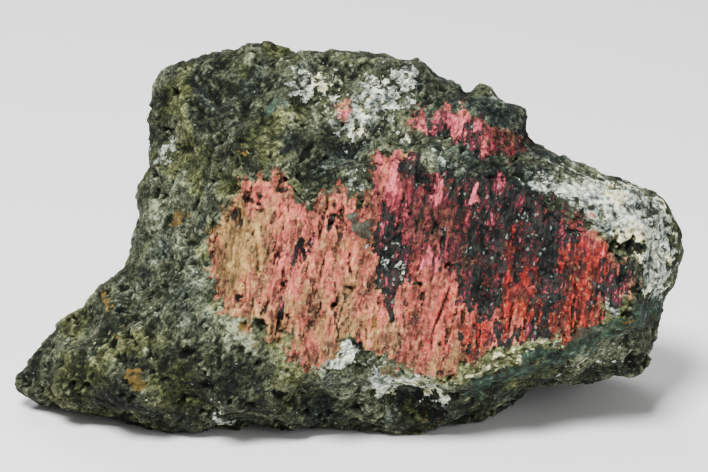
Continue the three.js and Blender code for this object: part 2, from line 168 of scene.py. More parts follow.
BROKEN_SPOTS = [
    ((11.0, -9.6), 1.5, 1.0), ((13.6, -8.9), 1.3, 1.0), ((8.6, -10.9), 1.3, 0.9),
    ((15.8, -8.6), 1.0, 0.9), ((20.6, -5.6), 1.2, 0.6), ((-4.6, -7.8), 0.9, 0.7),
    ((-7.4, -7.2), 0.7, 0.5), ((-0.2, -9.4), 1.2, 0.6),
    ((7.4, 9.3), 1.1, -0.35), ((9.2, 9.0), 1.2, -0.3), ((11.0, 7.8), 1.1, -0.3),
    ((12.9, 7.3), 0.9, -0.25), ((5.3, 9.4), 0.5, -0.2), ((6.15, 9.3), 0.35, 0.8),
    ((16.8, 2.4), 0.8, 0.25),
]
PINK_SPOTS = [
    ((5.4, 9.4), 0.8, 1.2),
    ((7.2, 9.2), 1.2, 1.1), ((9.0, 8.6), 1.1, 0.8), ((4.6, 5.6), 0.8, 0.8), ((-0.6, 9.8), 0.7, 0.7),
    ((6.0, -1.6), 1.4, 0.5), ((-1.0, 2.6), 0.8, 0.5), ((-4.6, -1.6), 1.0, 0.4),
    ((14.6, 3.0), 0.8, 0.6),
]
TEAL_SPOTS = [
    ((0.1, 1.2), 0.55, 2.2), ((0.9, 0.7), 0.6, 2.4), ((3.0, 6.0), 0.4, 0.4),
    ((-6.6, 10.6), 1.2, 0.7),
]
GAP_SPOTS = [
    ((20.6, -0.5), 0.55, 2.0), ((21.7, -0.8), 0.5, 2.0), ((22.8, -1.1), 0.45, 1.8),
    ((16.6, 4.6), 0.6, 0.7), ((15.6, 3.0), 0.6, 0.7), ((18.0, 2.6), 0.6, 0.5),
    ((-0.4, 12.3), 0.8, 0.8), ((2.4, 13.0), 0.5, 0.6), ((-2.4, 11.9), 0.5, 0.7),
    ((4.0, 11.4), 0.5, 0.5), ((23.9, 1.4), 0.5, 0.4), ((19.6, 4.0), 0.5, 0.4),
    ((18.6, 5.2), 1.0, 0.6), ((21.4, 4.8), 1.2, 0.5), ((24.2, 3.4), 1.0, 0.5),
    ((19.8, 1.4), 0.7, 0.35), ((25.6, 0.0), 0.6, 0.5),
]
RAISED_SPOTS = [  # the knob, the notch beside it and the crest, with strengths in mm
    ((10.7, 12.0), 1.1, 0.45), ((12.6, 10.9), 1.1, 0.45), ((13.6, 9.9), 0.8, 0.6),
    ((9.2, 12.1), 0.5, -0.5), ((5.4, 14.0), 0.9, 0.35), ((-4.0, 15.2), 1.0, 0.4),
    ((-6.1, 15.9), 0.6, -0.35), ((-12.2, 14.6), 1.3, 0.4), ((-15.8, 12.6), 1.2, 0.5),
]
# Pits are dents, and their colour is painted near black as the shade in them.
PIT_SPOTS = [
    ((9.3, 12.2), 0.5, 2.0), ((12.4, 7.9), 0.3, 0.9), ((11.7, 6.6), 0.3, 0.8),
    ((-1.5, 0.6), 0.28, 1.0), ((-0.4, -4.1), 0.42, 1.0), ((-1.1, -5.2), 0.4, 1.0),
    ((5.1, -4.2), 0.3, 1.0), ((7.6, -2.5), 0.24, 0.9), ((-8.8, 2.6), 0.34, 1.0),
    ((-7.7, 2.8), 0.46, 1.0), ((-5.9, 4.3), 0.34, 1.0), ((-5.6, -3.7), 0.32, 1.0),
    ((-9.2, -5.0), 0.45, 1.0), ((-3.9, -0.4), 0.34, 0.9), ((-4.1, -1.1), 0.38, 1.0),
    ((-4.3, -1.8), 0.36, 1.0), ((-1.3, 1.9), 0.4, 0.9), ((-5.5, -6.6), 0.3, 0.9),
    ((-5.4, -7.3), 0.3, 0.9), ((5.4, 4.1), 0.6, 1.0), ((-9.6, 1.6), 0.4, 0.8),
    ((20.7, -0.5), 0.4, 1.2), ((21.8, -0.8), 0.4, 1.2), ((22.8, -1.1), 0.35, 1.0),
    ((10.2, -4.6), 0.5, 0.8), ((13.8, 1.6), 0.45, 0.8), ((12.2, 5.0), 0.6, 0.7),
]
WHITE_SPOTS = [
    ((17.4, -10.2), 1.8, 0.42), ((21.2, -9.4), 1.6, 0.38), ((14.2, 3.0), 1.6, 0.4),
    ((2.4, -11.4), 1.6, 0.3), ((24.6, -4.6), 1.0, 0.4),
    ((-2.2, -10.2), 0.6, 1.4), ((-1.2, -9.7), 0.7, 1.5), ((-0.2, -9.1), 0.6, 1.4),
    ((2.3, -11.6), 1.3, 0.9), ((4.6, -11.6), 0.6, 1.2), ((5.8, -12.4), 0.6, 1.2),
    ((7.0, -13.2), 0.6, 1.1),
    ((-10.5, -15.0), 0.8, 1.3), ((1.4, -1.2), 0.3, 1.4), ((3.1, -1.2), 0.4, 1.4),
    ((2.7, -1.9), 0.3, 1.4), ((3.6, -2.7), 0.35, 1.4), ((8.1, -0.6), 0.35, 1.3),
    ((3.9, 8.0), 0.5, 1.3), ((0.2, 4.2), 0.8, 0.8), ((7.2, 6.4), 0.8, 0.9),
    ((14.6, 4.4), 0.45, 1.5), ((15.6, 4.1), 0.5, 1.5), ((16.4, 3.0), 0.45, 1.4),
    ((17.0, 3.9), 0.4, 1.2), ((18.3, 3.5), 0.6, 1.2), ((20.8, 2.8), 1.6, 0.5),
    ((21.7, 0.1), 0.9, 0.7), ((23.6, -2.0), 0.9, 0.5), ((12.8, -9.3), 0.8, 0.9),
    ((14.6, -8.6), 0.8, 0.8), ((11.0, -10.2), 0.8, 0.8), ((9.4, -11.2), 0.6, 0.8),
    ((16.2, -8.2), 0.6, 0.7), ((20.4, -5.6), 0.4, 1.0), ((-3.4, -8.6), 0.7, 0.9),
    ((-15.6, 6.8), 0.8, 0.9), ((-4.6, 13.6), 0.9, 0.7), ((-2.2, -7.2), 0.6, 0.6),
]
RUST_SPOTS = [
    ((-14.2, 1.3), 0.8, 1.3), ((-17.3, -11.3), 0.7, 1.4), ((2.6, -10.8), 0.7, 1.3),
    ((21.5, -6.8), 0.5, 1.4), ((-9.2, -6.9), 0.6, 0.9), ((-20.4, -5.0), 1.1, 0.8),
    ((-7.4, -8.8), 0.5, 0.9), ((-18.6, -7.6), 1.2, 0.5), ((-14.0, -9.0), 0.6, 0.5),
    ((6.4, -15.0), 0.8, 0.5), ((-8.8, 7.0), 0.7, 0.7), ((14.6, -10.4), 0.5, 0.7),
]
OLIVE_SPOTS = [
    ((0.6, 6.6), 3.2, -0.7), ((8.6, 5.6), 2.6, -0.7), ((-4.6, 5.8), 2.2, -0.5),
    ((14.2, 4.4), 2.0, -0.6), ((-4.2, 12.8), 2.0, -0.5), ((7.0, 11.6), 3.0, -0.6),
    ((11.6, 9.4), 1.8, -0.6), ((-10.0, 10.4), 2.4, -0.5), ((-13.6, -3.4), 3.0, -0.4),
    ((-9.8, 4.2), 1.2, 1.0), ((-11.6, 2.4), 1.0, 0.7), ((-6.4, 5.8), 1.0, 0.6),
    ((12.8, -9.3), 1.6, 1.6), ((10.2, -10.6), 1.4, 1.4), ((15.6, -8.4), 1.2, 1.2),
    ((21.6, -0.1), 1.0, 1.8), ((21.6, 4.4), 1.6, 0.3), ((12.2, 10.4), 2.4, -0.8),
    ((8.4, 10.4), 2.4, -0.4), ((15.6, 4.6), 2.2, -0.6), ((17.6, 6.2), 1.6, -0.4),
    ((-15.2, 10.2), 1.5, 1.2), ((-7.8, 7.6), 1.8, 0.8), ((-9.4, 5.0), 1.6, 0.8),
    ((-6.6, 9.4), 1.4, 0.9), ((-14.2, 12.4), 1.4, 0.7), ((24.0, -1.6), 0.8, 1.0),
    ((-14.6, 5.6), 2.0, 0.6), ((-4.4, 9.8), 1.2, 0.5), ((-2.2, 14.0), 2.4, 0.5),
    ((-19.0, -10.0), 3.6, 0.6), ((-12.0, -12.6), 3.0, 0.5), ((10.9, 11.9), 0.7, 0.8),
    ((26.4, -1.4), 1.2, 0.6), ((-6.4, 15.0), 1.4, 0.5), ((-22.6, -12.0), 2.4, 0.5),
]
# The first two spots, on the knob, paint a highlight on it.
PALE_SPOTS = [
    ((10.8, 11.7), 0.6, 1.0), ((11.8, 10.6), 0.5, 0.7), ((6.4, 5.8), 0.8, 0.6),
    ((2.4, -11.0), 1.8, 0.7), ((17.8, -10.0), 1.4, 0.6), ((20.6, -9.0), 1.2, 0.4),
    ((-11.4, -6.0), 2.6, 1.1), ((-8.6, -7.8), 2.2, 0.7), ((-15.6, 2.6), 2.2, 0.8),
    ((-14.0, -1.2), 2.6, 0.6), ((-16.6, 0.4), 1.4, 0.7), ((-13.4, 8.6), 0.7, 0.6),
    ((-4.6, -11.4), 3.0, 0.4), ((1.4, -12.6), 2.6, 0.5), ((17.6, 5.4), 2.2, 0.8),
    ((0.6, 10.0), 4.6, 0.3), ((13.6, 9.0), 0.8, 0.5), ((-10.4, 1.2), 1.4, 0.4),
    ((21.0, 3.6), 2.6, 0.6), ((12.6, -9.2), 1.8, 1.1), ((-5.4, -9.8), 2.0, 0.4),
    ((8.8, -10.8), 1.4, 0.9), ((15.6, -8.2), 1.2, 0.7), ((5.0, -11.0), 1.4, 0.9),
]
DARK_SPOTS = [
    ((11.4, 1.2), 3.2, 0.6), ((15.4, -1.6), 2.0, 0.4), ((10.0, -3.8), 1.4, 0.4),
    ((12.6, 5.4), 2.4, 0.8), ((15.2, 3.2), 1.4, 0.8), ((18.0, 2.0), 1.2, 0.5),
    ((23.6, -4.4), 1.0, 0.7), ((16.0, -12.6), 2.0, 0.4),
    ((-12.4, -13.6), 4.2, 0.9), ((5.2, -13.5), 1.4, 1.2), ((-2.6, 6.6), 3.2, 0.7),
    ((-10.2, 11.0), 2.6, 0.5), ((21.6, -0.6), 1.1, 0.9), ((-17.6, 9.0), 1.2, 0.7),
    ((6.0, 11.0), 2.6, 0.5), ((9.4, -13.4), 2.6, 0.6),
    ((-4.8, -14.0), 3.0, 0.6), ((-20.6, -13.8), 2.6, 0.6), ((14.0, -11.4), 2.2, 0.6),
    ((12.6, 10.2), 1.8, 0.5), ((14.2, 8.0), 1.4, 0.4),
]

# Lines on the face-on frame

TEAL_LEDGE = [(25.0, -5.4), (22.0, -6.6), (19.4, -7.4), (17.4, -9.0), (14.0, -10.2), (9.8, -12.0)]
OLIVE_VEIN = [(-13.8, 14.2), (-13.9, 10.0), (-13.6, 6.8), (-12.4, 3.0)]
HAIR_CRACK = [(7.8, -3.6), (7.0, -5.8), (6.3, -7.4), (6.1, -8.8)]
PINK_BLADES = [
    [(1.6, 2.8), (2.2, 7.1)], [(2.8, 3.8), (3.5, 6.7)], [(6.7, 2.8), (7.0, 4.4)],
    [(9.3, 2.8), (9.8, 4.2)],
]
DARK_STREAKS = [
    [(-4.2, -0.2), (-4.8, -2.2)], [(-3.2, 0.2), (-3.6, -1.2)], [(-5.6, -5.2), (-5.8, -6.4)],
    [(2.7, -3.9), (3.0, -6.6)], [(-1.7, 1.6), (-2.0, 0.6)], [(9.6, 1.6), (9.1, -1.4)],
    [(11.8, -2.6), (11.4, -5.4)], [(7.2, 0.6), (6.9, -1.8)], [(15.4, -4.2), (15.0, -6.8)],
]


# Working out distances and fields over many points at once

def smooth_step(low, high, values):
    """From 0 at low to 1 at high, with soft ends."""
    t = np.clip((values - low) / (high - low), 0.0, 1.0)
    return t * t * (3.0 - 2.0 * t)


def distance_to_line(points, line):
    """Distance in the face-on plane from each point to a line of several stretches."""
    nearest = np.full(len(points), np.inf)
    for start, end in zip(line[:-1], line[1:]):
        start = np.array(start)
        along = np.array(end) - start
        away = points[:, :2] - start
        t = np.clip(away @ along / (along @ along), 0.0, 1.0)
        nearest = np.minimum(nearest, np.hypot(*(away - t[:, None] * along).T))
    return nearest


def depth_inside(points, outline):
    """Distance from each point to a closed outline: above zero inside it, below zero outside."""
    inside = np.zeros(len(points), bool)
    x, y = points[:, 0], points[:, 1]
    for (ax, ay), (bx, by) in zip(outline, outline[1:] + outline[:1]):
        reaches = (ay > y) != (by > y)
        run = (bx - ax) * (y - ay) / (by - ay if by != ay else 1.0) + ax
        inside ^= reaches & (x < run)
    distance = distance_to_line(points, outline + outline[:1])
    return np.where(inside, distance, -distance)


def spots(points, places):
    """Soft round spots, added up over every point."""
    total = np.zeros(len(points))
    for (x, y), radius, strength in places:
        away = np.hypot(points[:, 0] - x, points[:, 1] - y) / radius
        total += strength * np.exp(-away * away)
    return total


def lumps(points, size, octaves, seed, softness=1.0):
    """Fractal lumps of one size, about -1 to 1. Softness fades the finer octaves."""
    offset = Vector((seed, 2 * seed, -seed))
    return np.array([
        noise.fractal(Vector(p) / size + offset, softness, 2.0, octaves) for p in points
    ])


def creases(points, size, octaves, seed):
    """Rounded lumps with sharp creases between them, from 0 in the creases to about 1."""
    offset = Vector((-seed, seed, 2 * seed))
    return np.array([noise.turbulence(Vector(p) / size + offset, octaves, True) for p in points])


def chips(points, size, tilt, seed):
    """Angular grains: each cell of space stands at its own height and leans its own way."""
    offset = Vector((seed, -seed, 3 * seed))
    heights = np.empty(len(points))
    for i, p in enumerate(points):
        place = Vector(p) / size + offset
        centre = noise.voronoi(place)[1][0]
        lean = noise.cell_vector(centre) - Vector((0.5, 0.5, 0.5))
        heights[i] = 2.0 * tilt * (place - centre).dot(lean) + lean.x
    return heights


def along_fibres(points):
    """The same points with x across the fibres and y along them."""
    turned = points.copy()
    sine, cosine = math.sin(FIBRE_LEAN), math.cos(FIBRE_LEAN)
    turned[:, 0] = points[:, 0] * cosine - points[:, 1] * sine
    turned[:, 1] = points[:, 0] * sine + points[:, 1] * cosine
    return turned


# Relief: how far the surface stands out at each point, in mm

def rock_relief(points):
    """Broken granular rock: lumps, creases, angular grains, and pits between them."""
    relief = 0.5 * lumps(points, 3.8, 5, 3.1, 0.85)
    relief += 0.26 * (creases(points, 2.6, 3, 14.2) - 0.35)
    relief += 0.24 * chips(points, 2.3, 0.9, 5.3)
    relief += 0.1 * chips(points, GRAIN_SIZE, 0.8, GRAIN_SEED)
    pits = smooth_step(0.3, 0.6, lumps(points, 1.3, 3, 21.4))
    return relief - 0.45 * pits


def fibre_relief(points):
    """Silky splinters: long narrow steps with fine grooves along them."""
    fibres = along_fibres(splintered(points, points))
    relief = 0.34 * lumps(points, 3.0, 4, 8.8, 0.8)
    relief += 0.14 * chips(fibres * [1.0, 0.22, 0.3], 1.3, 0.8, 2.2)
    relief += 0.05 * chips(fibres * [1.0, 0.2, 0.3], 0.42, 0.6, 6.1)
    relief += 0.08 * lumps(fibres * [1.0, 0.25, 0.4], 0.4, 3, 4.5)
    holes = smooth_step(0.3, 0.65, lumps(fibres * [1.0, 0.4, 1.0], 0.75, 2, 31.0))
    return relief - 0.35 * holes


def white_relief(points):
    """Rounded white grains packed together."""
    relief = 0.26 * chips(points, 1.5, 0.8, 12.0) + 0.1 * chips(points, 0.7, 0.7, 19.0)
    return relief + 0.28 * (creases(points, 1.5, 3, 17.0) - 0.35)


# Where each mineral shows: fields over the points of a piece

def in_front(points):
    """1 in the front part that the minerals are placed on, fading to 0 toward the back."""
    return smooth_step(FRONT_END, FRONT_START, points[:, 2])


def wandered(points):
    """The points moved a little in the face-on plane, so that outlines and spots come out ragged."""
    moved = points.copy()
    moved[:, 0] += 0.7 * lumps(points * [1.0, 1.0, 0.4], 1.7, 4, 81.0, 0.6)
    moved[:, 1] += 0.9 * lumps(points * [1.0, 1.0, 0.4], 1.7, 4, 95.0, 0.6)
    return moved


def splintered(points, exact):
    """Points moved along the fibres, each fibre its own way, so that zones end in spikes."""
    moved = points.copy()
    moved[:, 1] += 1.9 * lumps(along_fibres(exact) * [1.0, 0.12, 0.1], 0.75, 4, 44.0, 0.5)
    return moved


def mineral_fields(points):
    """Every field that the relief and the materials share, by name."""
    front = in_front(points)
    exact = points
    points = wandered(points)
    fibrous = splintered(points, exact)
    red = np.maximum.reduce([
        depth_inside(0.85 * points + 0.15 * fibrous, outline)
        for outline in (RED_LENS, UPPER_RED, RED_GRAIN, PALE_LENS)
    ])
    red -= 2.0 * spots(points, BROKEN_SPOTS)
    grainy_start = 0.35 + 0.6 * smooth_step(15.0, 20.0, points[:, 0])
    white = np.maximum(
        grainy_start * smooth_step(-1.2, 0.8, depth_inside(points, WHITE_BAND)),
        0.85 * smooth_step(-1.4, 0.8, depth_inside(points, WHITE_PATCH)),
    )
    teal = np.exp(-(distance_to_line(points, TEAL_LEDGE) / 0.85) ** 2) + spots(points, TEAL_SPOTS)
    vein = 0.8 * np.exp(-(distance_to_line(points, OLIVE_VEIN) / 0.5) ** 2)
    crack = 0.62 * np.exp(-(distance_to_line(exact, HAIR_CRACK) / 0.1) ** 2)
    blades = np.maximum.reduce([
        np.exp(-(distance_to_line(exact, blade) / 0.29) ** 2) for blade in PINK_BLADES
    ])
    streaks = sum(
        np.exp(-(distance_to_line(exact, streak) / 0.24) ** 2) for streak in DARK_STREAKS
    )
    pink = np.clip(blades + spots(points, PINK_SPOTS), 0.0, 1.0)
    rim = np.exp(-((red + 0.3) / 0.9) ** 2)
    rim *= 1.0 - smooth_step(6.0, 9.0, exact[:, 0]) * smooth_step(-3.0, 0.0, exact[:, 1])
    fields = {
        "red": np.where(points[:, 2] > FRONT_RED, red, -4.0),
        "tan": spots(fibrous, TAN_SPOTS),
        "crimson": spots(fibrous, CRIMSON_SPOTS) * (1.0 - 0.8 * pink),
        "scarlet": spots(fibrous, SCARLET_SPOTS),
        "pink": pink,
        "clots": (spots(fibrous, CLOT_SPOTS) + streaks) * (1.0 - 0.9 * blades),
        "pits": spots(points, PIT_SPOTS) + crack,
        "white": white + spots(points, WHITE_SPOTS) - spots(points, GAP_SPOTS),
        "rust": spots(points, RUST_SPOTS) * smooth_step(-4.5, -2.5, points[:, 2]),
        "olive": spots(points, OLIVE_SPOTS) + vein + 0.35 * rim,
        "pale": spots(points, PALE_SPOTS) + 0.6 * vein + 0.8 * rim,
        "dark": spots(points, DARK_SPOTS),
        "teal": teal,
    }
    for name, field in fields.items():
        fields[name] = field if name == "red" else field * front
    fields["white"] += (1.0 - front) * 0.8 * smooth_step(0.35, 0.75, lumps(points, 4.6, 3, 52.0))
    return fields


def rock_tones(points):
    """Light and dark, yellow and blue parts of the rock, grain by grain, and a painted sheen along
    the fibres, each about -1 to 1.
    """
    return {
        "tone": 0.8 * lumps(points, 2.6, 4, 41.0, 0.6) + 0.7 * chips(
            points, GRAIN_SIZE, 0.0, GRAIN_SEED
        ),
        "warmth": lumps(points, 4.2, 4, 63.0, 0.7),
        "coolness": lumps(points, 3.0, 3, 77.0, 0.8),
        "sheen": lumps(along_fibres(points) * [1.0, 0.45, 0.3], 1.5, 4, 23.0, 0.6),
    }


def surface_relief(points):
    """The relief of the rock and of the minerals in it, blended by where each shows."""
    fields = mineral_fields(points)
    fibrous = smooth_step(-0.3, 0.5, fields["red"]) * (1.0 - 0.7 * np.clip(fields["clots"], 0, 1))
    white = np.clip(fields["white"], 0.0, 1.0) * (1.0 - fibrous)
    smooth = 1.0 - 0.75 * np.clip(fields["teal"], 0.0, 1.0)
    rock = rock_relief(points) * smooth
    relief = rock * (1.0 - fibrous - white)
    relief += fibre_relief(points) * fibrous + white_relief(points) * white
    relief += spots(points, RAISED_SPOTS) * in_front(points)
    return relief - 0.55 * np.clip(fields["pits"], 0.0, 1.0) - 0.3 * np.clip(fields["dark"], 0, 1)


# Making the pieces

def finished_mesh(mesh, *steps):
    """The mesh after some modifiers, each a kind and its settings, with none left live."""
    carrier = bpy.data.objects.new("carrier", mesh)
    bpy.context.scene.collection.objects.link(carrier)
    for kind, settings in steps:
        modifier = carrier.modifiers.new(kind, kind)
        for name, value in settings.items():
            setattr(modifier, name, value)
    evaluated = carrier.evaluated_get(bpy.context.evaluated_depsgraph_get())
    result = bpy.data.meshes.new_from_object(evaluated)
    bpy.data.objects.remove(carrier)
    return result


def merged_nodes(*names):
    """CAD solids as one mesh with shared corners, in the face-on frame."""
    solids = bmesh.new()
    for name in names:
        solids.from_mesh(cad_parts[name].data)
    bmesh.ops.transform(solids, matrix=TO_FACE, verts=solids.verts)
    bmesh.ops.remove_doubles(solids, verts=solids.verts, dist=0.002)
    mesh = bpy.data.meshes.new("solids")
    solids.to_mesh(mesh)
    solids.free()
    return mesh


def guide_skin():
    """A soft skin over the whole rock, which says which way out is for every piece."""
    mesh = finished_mesh(
        merged_nodes(*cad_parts),
        ("REMESH", {"mode": "VOXEL", "voxel_size": GUIDE_VOXEL}),
        ("SMOOTH", {"factor": 0.5, "iterations": 6}),
    )
    corners = [v.co.copy() for v in mesh.vertices]
    normals = [v.normal.copy() for v in mesh.vertices]
    faces = [tuple(face.vertices) for face in mesh.polygons]
    return BVHTree.FromPolygons(corners, faces), corners, normals, faces


def outward(points, skin):
    """For each point the place on the skin, the way out, and its share in the outer surface."""
    tree, corners, normals, faces = skin
    places = np.empty((len(points), 3))
    ways = np.empty((len(points), 3))
    depths = np.empty(len(points))
    for i, p in enumerate(points):
        place, _, index, distance = tree.find_nearest(Vector(p))
        face = faces[index]
        weights = poly_3d_calc([corners[c] for c in face], place)
        way = sum((normals[c] * w for c, w in zip(face, weights)), Vector())
        places[i] = place
        ways[i] = way.normalized()
        depths[i] = distance
    return places, ways, 1.0 - smooth_step(SKIN_NEAR, SKIN_FAR, depths)


def hollows(mesh, relief, rounds):
    """How far the relief at each corner lies below the mean of the corners round it, in mm."""
    edges = np.empty(len(mesh.edges) * 2, np.int64)
    mesh.edges.foreach_get("vertices", edges)
    first, second = edges.reshape(-1, 2).T
    counts = np.bincount(edges, minlength=len(relief))
    smoothed = relief
    for _ in range(rounds):
        sums = np.bincount(first, smoothed[second], len(relief))
        sums += np.bincount(second, smoothed[first], len(relief))
        smoothed = sums / counts
    return smoothed - relief


def surface_piece(name, node, voxel, soften, swell, material):
    """A CAD solid's detailed surface: finely meshed, given its relief, and set in the frame."""
    mesh = finished_mesh(
        merged_nodes(node),
        ("REMESH", {"mode": "VOXEL", "voxel_size": voxel}),
        ("SMOOTH", {"factor": 0.5, "iterations": soften}),
    )
    count = len(mesh.vertices)
    points = np.empty(count * 3, np.float32)
    normals = np.empty(count * 3, np.float32)
    mesh.vertices.foreach_get("co", points)
    mesh.vertices.foreach_get("normal", normals)
    points = points.reshape(-1, 3).astype(float)
    normals = normals.reshape(-1, 3).astype(float)
    places, ways, shares = outward(points, SKIN)
    sideways = normals - ways * np.sum(normals * ways, axis=1)[:, None]
    points += (places - points) * shares[:, None]
    relief = surface_relief(points)
    points += ways * (relief * shares)[:, None] + sideways * swell
    above = points @ np.array(FLOOR_NORMAL) + FACE_ORIGIN.z
    points += np.maximum(-above, 0.0)[:, None] * np.array(FLOOR_NORMAL)
    mesh.vertices.foreach_set("co", points.astype(np.float32).ravel())
    fields = mineral_fields(points) | rock_tones(points)
    fields["crevice"] = hollows(mesh, relief, max(1, round((CREVICE_WIDTH / voxel) ** 2)))
    fields["hollow"] = hollows(mesh, relief, round((HOLLOW_WIDTH / voxel) ** 2))
    for field, values in fields.items():
        mesh.attributes.new(field, "FLOAT", "POINT").data.foreach_set("value", values)
    mesh.transform(FROM_FACE)
    mesh.update()
    piece = bpy.data.objects.new(name, mesh)
    bpy.context.scene.collection.objects.link(piece)
    mesh.polygons.foreach_set("use_smooth", [True] * len(mesh.polygons))
    mesh.materials.clear()
    mesh.materials.append(material)
    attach(piece, "root")
    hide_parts(node)
    return piece


# Materials: a small helper, then the shared node groups, then one material for each mineral

class Graph:
    """Adds shader nodes to one tree. A plain value sets a socket, and a socket is linked."""

    def __init__(self, tree):
        self.tree = tree

    def add(self, kind, inputs=None, **settings):
        node = self.tree.nodes.new(kind)
        for name, value in settings.items():
            setattr(node, name, value)
        for name, value in (inputs or {}).items():
            self.feed(node.inputs[name], value)
        return node

    def feed(self, socket, value):
        if isinstance(value, bpy.types.NodeSocket):
            self.tree.links.new(value, socket)
        else:
            socket.default_value = value

    def math(self, operation, a, b=0.0):
        return self.add("ShaderNodeMath", {0: a, 1: b}, operation=operation).outputs[0]

    def remap(self, value, low, high, to_low=0.0, to_high=1.0):
        """From one value at low to another at high, with soft ends."""
        inputs = {"Value": value, 1: low, 2: high, 3: to_low, 4: to_high}
        node = self.add("ShaderNodeMapRange", inputs, interpolation_type="SMOOTHSTEP")
        return node.outputs["Result"]

    def mix(self, factor, a, b):
        """From colour a to colour b."""
        node = self.add("ShaderNodeMix", {0: factor, 6: a, 7: b}, data_type="RGBA")
        return node.outputs[2]

    def blend(self, factor, a, b):
        """From value a to value b."""
        return self.add("ShaderNodeMix", {0: factor, 2: a, 3: b}).outputs[0]

    def ramp(self, factor, *stops):
        node = self.add("ShaderNodeValToRGB", {0: factor})
        elements = node.color_ramp.elements
        while len(elements) < len(stops):
            elements.new(0.5)
        for element, (position, colour) in zip(elements, stops):
            element.position = position
            element.color = colour
        return node.outputs["Color"]

    def noise(self, place, size, detail=3.0, roughness=0.55):
        inputs = {"Vector": place, "Scale": 1.0 / size, "Detail": detail, "Roughness": roughness}
        return self.add("ShaderNodeTexNoise", inputs).outputs["Fac"]

    def cells(self, place, size):
        """A random value for each cell."""
        cells = self.add("ShaderNodeTexVoronoi", {"Vector": place, "Scale": 1.0 / size})
        return self.add("ShaderNodeSeparateColor", {0: cells.outputs["Color"]}).outputs[0]

    def stretch(self, place, scale):
        return self.add("ShaderNodeMapping", {"Vector": place, "Scale": scale}).outputs[0]

    def turn_to_fibres(self, place):
        """The place with x across the fibres and y along them."""
        inputs = {"Vector": place, "Rotation": (0, 0, FIBRE_LEAN)}
        return self.add("ShaderNodeMapping", inputs).outputs[0]

    def field(self, name):
        return self.add("ShaderNodeAttribute", attribute_name=name).outputs["Fac"]


def colour(text):
    """A colour as it is seen in the studio's light, such as d9776b, in values for shaders.

    The view holds bright colours back, so they are lifted here, up to the palest mineral.
    """
    parts = [int(text[i:i + 2], 16) / 255 for i in (0, 2, 4)]
    linear = [p / 12.92 if p <= 0.04045 else ((p + 0.055) / 1.055) ** 2.4 for p in parts]
    lifted = [part * (1.0 + VIEW_HOLD * part ** 2.5) / STUDIO_BRIGHTNESS for part in linear]
    return (*(min(part, PALEST) for part in lifted), 1.0)


def new_group(name, inputs, outputs):
    """A shader node group with named sockets, and the graph that fills it."""
    kinds = {"value": "NodeSocketFloat", "colour": "NodeSocketColor", "place": "NodeSocketVector"}
    tree = bpy.data.node_groups.new(name, "ShaderNodeTree")
    for socket, kind in inputs.items():
        tree.interface.new_socket(socket, in_out="INPUT", socket_type=kinds[kind])
    for socket, kind in outputs.items():
        tree.interface.new_socket(socket, in_out="OUTPUT", socket_type=kinds[kind])
    graph = Graph(tree)
    given = graph.add("NodeGroupInput").outputs
    result = graph.add("NodeGroupOutput").inputs
    return tree, graph, given, result


def use_group(graph, tree, inputs):
    return graph.add("ShaderNodeGroup", inputs, node_tree=tree).outputs


SURFACE = {"Colour": "colour", "Roughness": "value", "Height": "value"}


def granular_rock_group():
    """Dark green-black rock of sub-millimetre grains, with olive, blue-grey and pale parts."""
    inputs = {"Place": "place", "Tone": "value", "Warmth": "value", "Coolness": "value"}
    tree, g, given, result = new_group("Granular rock", inputs, SURFACE)
    place = given["Place"]
    fine = g.noise(place, 0.4, detail=4.0, roughness=0.8)
    specks = g.cells(place, 0.2)
    threads = g.noise(place, 1.1, detail=5.0, roughness=0.7)
    tone = g.math("ADD", given["Tone"], g.math("MULTIPLY", g.math("SUBTRACT", fine, 0.5), 1.7))
    speck_tone = g.math("MULTIPLY", g.math("SUBTRACT", specks, 0.5), 0.3)
    tone = g.math("ADD", tone, speck_tone)
    green = g.ramp(
        tone, (0.0, colour("070a05")), (0.24, colour("191f13")), (0.42, colour("323928")),
        (0.6, colour("515842")), (0.8, colour("797f66")), (1.0, colour("aeb39c")),
    )
    cool = g.ramp(
        tone, (0.0, colour("060a0a")), (0.28, colour("162020")), (0.5, colour("323f38")),
        (0.78, colour("6c7970")), (1.0, colour("b2bcb2")),
    )
    yellow = g.ramp(
        tone, (0.0, colour("0e1006")), (0.26, colour("2a2f17")), (0.5, colour("50572f")),
        (0.78, colour("838759")), (1.0, colour("b4b68a")),
    )
    wander = g.math("MULTIPLY", g.math("SUBTRACT", threads, 0.5), 1.6)
    chill = g.remap(g.math("ADD", given["Coolness"], wander), 0.15, 0.9, 0.0, 0.8)
    shown = g.mix(chill, green, cool)
    warm = g.remap(g.math("SUBTRACT", given["Warmth"], wander), 0.15, 0.9, 0.0, 0.9)
    shown = g.mix(warm, shown, yellow)
    thread = g.remap(g.math("ABSOLUTE", g.math("SUBTRACT", threads, 0.5)), 0.014, 0.0)
    thread = g.math("MULTIPLY", thread, g.remap(given["Tone"], 0.25, 0.6, 0.0, 0.5))
    shown = g.mix(thread, shown, colour("a7aa93"))
    height = g.math("MULTIPLY", specks, 0.03)
    height = g.math("ADD", height, g.math("MULTIPLY", fine, 0.2))
    g.feed(result["Colour"], shown)
    g.feed(result["Roughness"], g.remap(specks, 0.0, 0.15, 0.45, 0.85))
    g.feed(result["Height"], height)
    return tree


